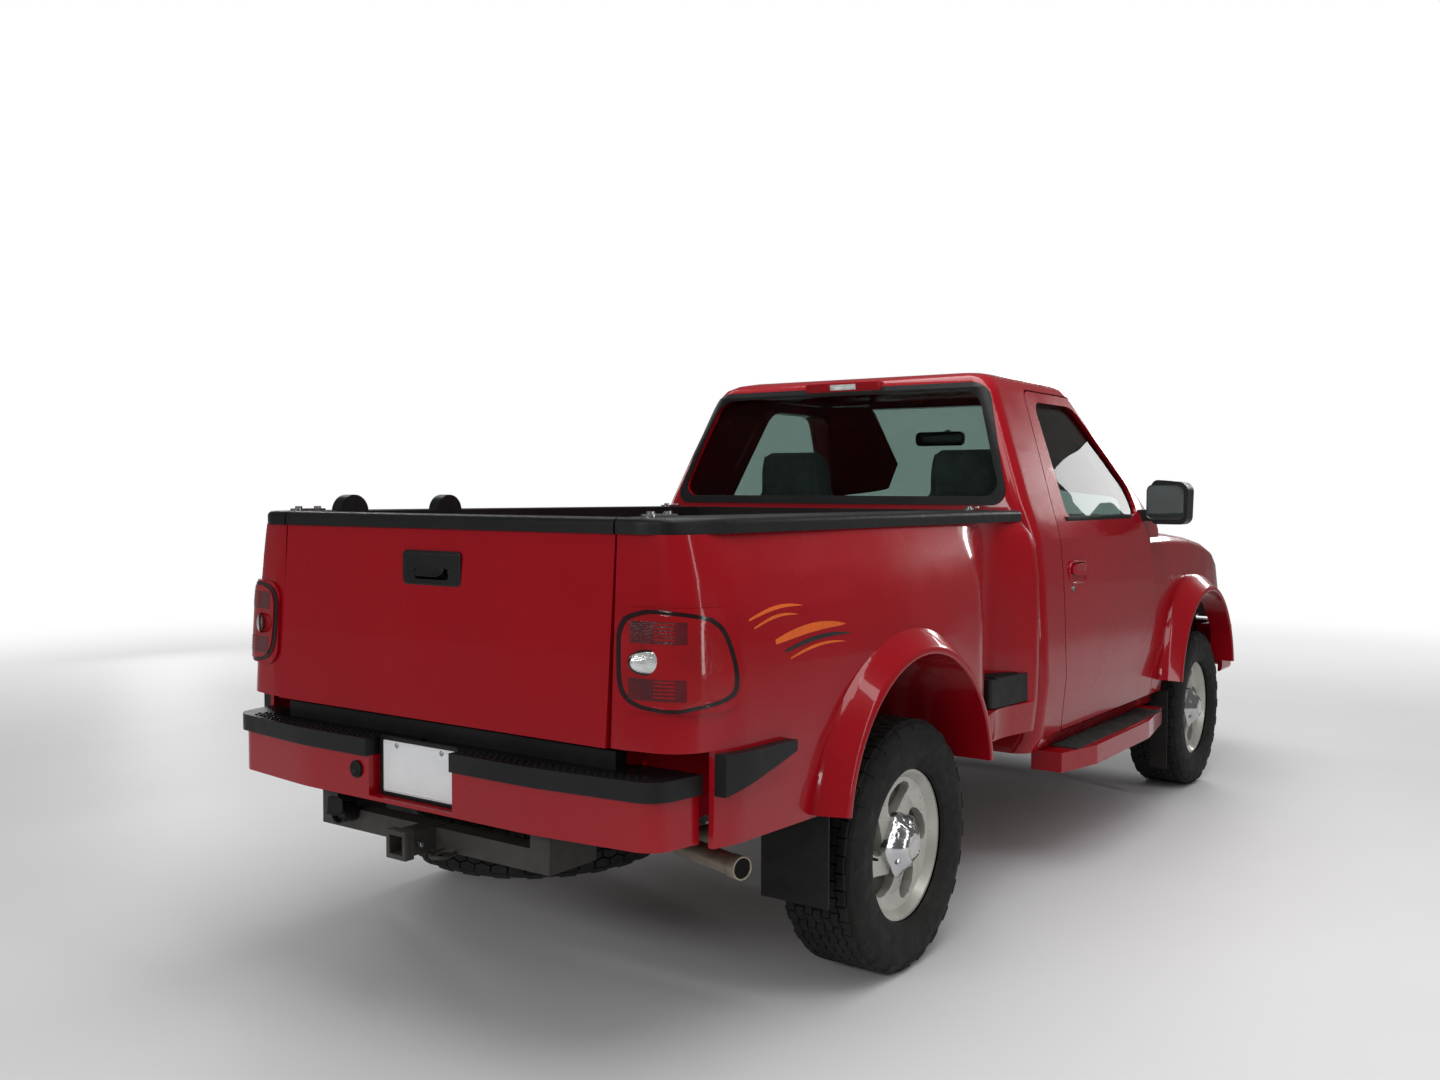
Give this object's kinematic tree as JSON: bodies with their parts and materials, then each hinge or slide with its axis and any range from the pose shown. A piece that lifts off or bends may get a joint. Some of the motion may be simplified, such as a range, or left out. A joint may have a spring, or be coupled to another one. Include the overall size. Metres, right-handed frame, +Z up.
{
  "type": "pickup truck",
  "caption": "Four-wheel-drive regular-cab pickup truck with a step-side bed, flared wheel arches, running boards, opening doors, hood and tailgate, and steered front wheels.",
  "frame": {"origin": "on the ground under the middle of the whole truck", "axes": "+X to the truck's left side, -Y forwards, +Z up"},
  "size_m": [2.1396, 5.163, 1.907],
  "materials": {
    "body_paint": "gloss",
    "frame_paint": "satin",
    "cast_grey": "rough",
    "steel": "satin",
    "wheel_paint": "gloss",
    "tyre_rubber": "matte",
    "flap_rubber": "matte",
    "black_plastic": "satin",
    "tinted_glass": "clear",
    "lamp_red": "gloss",
    "lamp_clear": "clear",
    "bright_trim": "polished",
    "seat_cloth": "matte",
    "dash_plastic": "matte",
    "tank_plastic": "matte"
  },
  "bodies": {
    "chassis": {"cab": "body_paint", "left_fender": "body_paint", "right_fender": "body_paint", "front_bumper": "body_paint", "bed_tub": "body_paint", "left_bed_side": "body_paint", "right_bed_side": "body_paint", "rear_bumper": "body_paint", "running_boards": "body_paint", "chassis_frame": "frame_paint", "front_suspension": "frame_paint", "rear_axle": "frame_paint", "radiator_support": "frame_paint", "tow_hitch": "frame_paint", "engine_block": "cast_grey", "driveline": "cast_grey", "cab_glass": "tinted_glass", "bed_rail_caps": "black_plastic", "rear_bumper_pads": "black_plastic", "rear_window_frame": "black_plastic", "bed_steps": "black_plastic", "mud_flaps": "flap_rubber", "tie_down_cleats": "steel", "headlamps": "lamp_clear", "grille": "bright_trim", "tail_lamps": "lamp_red", "dashboard": "dash_plastic", "steering_wheel": "dash_plastic", "seats": "seat_cloth", "radiator": "steel", "fuel_tank": "tank_plastic", "spare_wheel": "tyre_rubber", "exhaust": "steel"},
    "hood": {"hood": "body_paint"},
    "left_door": {"left_door": "body_paint", "left_door_glass": "tinted_glass", "left_mirror": "black_plastic"},
    "right_door": {"right_door": "body_paint", "right_door_glass": "tinted_glass", "right_mirror": "black_plastic"},
    "tailgate": {"tailgate": "body_paint", "tailgate_trim": "black_plastic"},
    "left_knuckle": {"left_knuckle": "cast_grey"},
    "right_knuckle": {"right_knuckle": "cast_grey"},
    "left_front_wheel": {"left_front_tyre": "tyre_rubber", "left_front_rim": "wheel_paint"},
    "right_front_wheel": {"right_front_tyre": "tyre_rubber", "right_front_rim": "wheel_paint"},
    "left_rear_wheel": {"left_rear_tyre": "tyre_rubber", "left_rear_rim": "wheel_paint"},
    "right_rear_wheel": {"right_rear_tyre": "tyre_rubber", "right_rear_rim": "wheel_paint"}
  },
  "joints": [
    {"name": "left_steer", "type": "hinge", "parent": "chassis", "child": "left_knuckle", "pos_m": [0.74, -1.6215, 0.375], "axis": [0, 0, 1], "range_deg": [-30, 30]},
    {"name": "right_steer", "type": "hinge", "parent": "chassis", "child": "right_knuckle", "pos_m": [-0.74, -1.6215, 0.375], "axis": [0, 0, 1], "range_deg": [-30, 30]},
    {"name": "left_front_spin", "type": "hinge", "parent": "left_knuckle", "child": "left_front_wheel", "pos_m": [0.83, -1.6215, 0.375], "axis": [1, 0, 0], "continuous": true},
    {"name": "right_front_spin", "type": "hinge", "parent": "right_knuckle", "child": "right_front_wheel", "pos_m": [-0.83, -1.6215, 0.375], "axis": [1, 0, 0], "continuous": true},
    {"name": "left_rear_spin", "type": "hinge", "parent": "chassis", "child": "left_rear_wheel", "pos_m": [0.83, 1.4315, 0.375], "axis": [1, 0, 0], "continuous": true},
    {"name": "right_rear_spin", "type": "hinge", "parent": "chassis", "child": "right_rear_wheel", "pos_m": [-0.83, 1.4315, 0.375], "axis": [1, 0, 0], "continuous": true},
    {"name": "left_door_hinge", "type": "hinge", "parent": "chassis", "child": "left_door", "pos_m": [0.922, -1.0105, 1], "axis": [0, 0, -1], "range_deg": [0, 65]},
    {"name": "right_door_hinge", "type": "hinge", "parent": "chassis", "child": "right_door", "pos_m": [-0.922, -1.0105, 1], "axis": [0, 0, 1], "range_deg": [0, 65]},
    {"name": "hood_hinge", "type": "hinge", "parent": "chassis", "child": "hood", "pos_m": [0, -1.2651, 1.262], "axis": [-1, 0, 0], "range_deg": [0, 50]},
    {"name": "tailgate_hinge", "type": "hinge", "parent": "chassis", "child": "tailgate", "pos_m": [0, 2.4505, 0.8], "axis": [-1, 0, 0], "range_deg": [0, 90]}
  ],
  "couplings": [
    {"joint": "right_steer", "follows": "left_steer", "ratio": 1}
  ]
}
